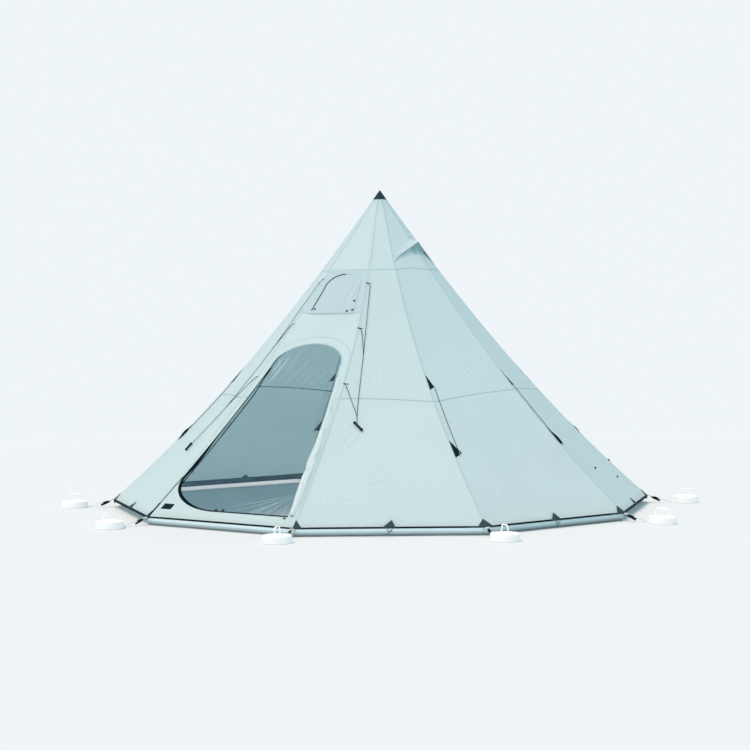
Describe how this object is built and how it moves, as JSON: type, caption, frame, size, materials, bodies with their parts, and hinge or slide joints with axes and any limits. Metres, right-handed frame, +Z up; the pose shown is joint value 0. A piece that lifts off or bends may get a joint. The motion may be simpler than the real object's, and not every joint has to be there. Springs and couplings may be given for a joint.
{
  "type": "tipi tent",
  "caption": "Ten-sided tipi tent on a telescopic pole, with a mesh door, roof vent, window, stowed guy lines and ballast weights.",
  "frame": {"origin": "on the ground at the centre of the pole's foot", "axes": "+Z up, -Y the front that the picture shows, +X to the right; two opposite hem corners lie on X"},
  "size_m": [5.476, 5.2182, 2.693],
  "materials": {
    "canopy_cloth": "pale blue-green polycotton canvas, matt, with a slight slub",
    "insect_mesh": "fine grey-teal insect netting",
    "slate_webbing": "dark slate woven webbing",
    "guy_cord": "dark slate braided cord",
    "black_plastic": "moulded black plastic",
    "pole_aluminium": "brushed aluminium tube",
    "painted_iron": "white painted cast metal"
  },
  "bodies": {
    "root": {"apex_cap": "slate_webbing", "ballast_weight_01": "painted_iron", "ballast_weight_02": "painted_iron", "ballast_weight_03": "painted_iron", "ballast_weight_04": "painted_iron", "ballast_weight_05": "painted_iron", "ballast_weight_06": "painted_iron", "ballast_weight_07": "painted_iron", "ballast_weight_08": "painted_iron", "ballast_weight_09": "painted_iron", "ballast_weight_10": "painted_iron", "canopy_crown": "canopy_cloth", "canopy_panel_01": "canopy_cloth", "canopy_panel_02_door": "canopy_cloth", "canopy_panel_03": "canopy_cloth", "canopy_panel_04": "canopy_cloth", "canopy_panel_05": "canopy_cloth", "canopy_panel_06": "canopy_cloth", "canopy_panel_07": "canopy_cloth", "canopy_panel_08": "canopy_cloth", "canopy_panel_09": "canopy_cloth", "canopy_panel_10": "canopy_cloth", "corner_strap_01": "slate_webbing", "corner_strap_02": "slate_webbing", "corner_strap_03": "slate_webbing", "corner_strap_04": "slate_webbing", "corner_strap_05": "slate_webbing", "corner_strap_06": "slate_webbing", "corner_strap_07": "slate_webbing", "corner_strap_08": "slate_webbing", "corner_strap_09": "slate_webbing", "corner_strap_10": "slate_webbing", "door_roll": "canopy_cloth", "guy_bridle_02": "guy_cord", "guy_bridle_03": "guy_cord", "guy_line_01": "guy_cord", "guy_line_04": "guy_cord", "guy_line_05": "guy_cord", "guy_line_06": "guy_cord", "guy_line_07": "guy_cord", "guy_line_08": "guy_cord", "guy_line_09": "guy_cord", "guy_line_10": "guy_cord", "hem_webbing": "slate_webbing", "pole_foot": "black_plastic", "pole_lower_tube": "pole_aluminium", "vent_hood": "canopy_cloth", "vent_mesh": "insect_mesh", "window_mesh": "insect_mesh"},
    "pole_middle": {"pole_middle_tube": "pole_aluminium"},
    "pole_upper": {"pole_upper_tube": "pole_aluminium", "pole_head": "black_plastic"},
    "vent_prop": {"vent_prop": "black_plastic"},
    "window_flap": {"window_flap": "canopy_cloth"},
    "mesh_door": {"mesh_door": "insect_mesh"},
    "mesh_zip": {"mesh_zip_slider": "black_plastic"},
    "door_zip": {"door_zip_slider": "black_plastic"},
    "skirt_door": {"ground_skirt_02": "canopy_cloth"},
    "skirt_front": {"ground_skirt_03": "canopy_cloth"},
    "skirt_right": {"ground_skirt_04": "canopy_cloth"}
  },
  "joints": [
    {"name": "pole_middle_slide", "type": "slide", "parent": "root", "child": "pole_middle", "axis": [0, 0, 1], "range_m": [-0.7, 0]},
    {"name": "pole_upper_slide", "type": "slide", "parent": "pole_middle", "child": "pole_upper", "axis": [0, 0, 1], "range_m": [-0.7, 0]},
    {"name": "vent_prop_fold", "type": "hinge", "parent": "root", "child": "vent_prop", "pos_m": [0.27688, -0.20116, 2.23113], "axis": [0.5878, 0.809, 0], "range_deg": [0, 70]},
    {"name": "window_flap_fold", "type": "hinge", "parent": "root", "child": "window_flap", "pos_m": [-0.43141, -0.59762, 1.64124], "axis": [0.8104, -0.5859, 0], "range_deg": [0, 150]},
    {"name": "mesh_door_swing", "type": "hinge", "parent": "root", "child": "mesh_door", "pos_m": [-0.74959, -2.05679, 0.135], "axis": [0.2525, 0.6532, 0.7139], "range_deg": [0, 85]},
    {"name": "mesh_zip_slide", "type": "slide", "parent": "mesh_door", "child": "mesh_zip", "axis": [0.5878, 0.3994, 0.7036], "range_m": [0, 0.5]},
    {"name": "door_zip_slide", "type": "slide", "parent": "root", "child": "door_zip", "axis": [0.8091, -0.5877, 0], "range_m": [-0.65, 0]},
    {"name": "skirt_door_swing", "type": "hinge", "parent": "root", "child": "skirt_door", "pos_m": [-1.2849, -1.76851, 0.05865], "axis": [0.809, -0.5878, 0], "range_deg": [-70, 70]},
    {"name": "skirt_front_swing", "type": "hinge", "parent": "root", "child": "skirt_front", "pos_m": [0, -2.186, 0.05865], "axis": [1, 0, 0], "range_deg": [-70, 70]},
    {"name": "skirt_right_swing", "type": "hinge", "parent": "root", "child": "skirt_right", "pos_m": [1.2849, -1.76851, 0.05865], "axis": [0.809, 0.5878, 0], "range_deg": [-70, 70]}
  ]
}
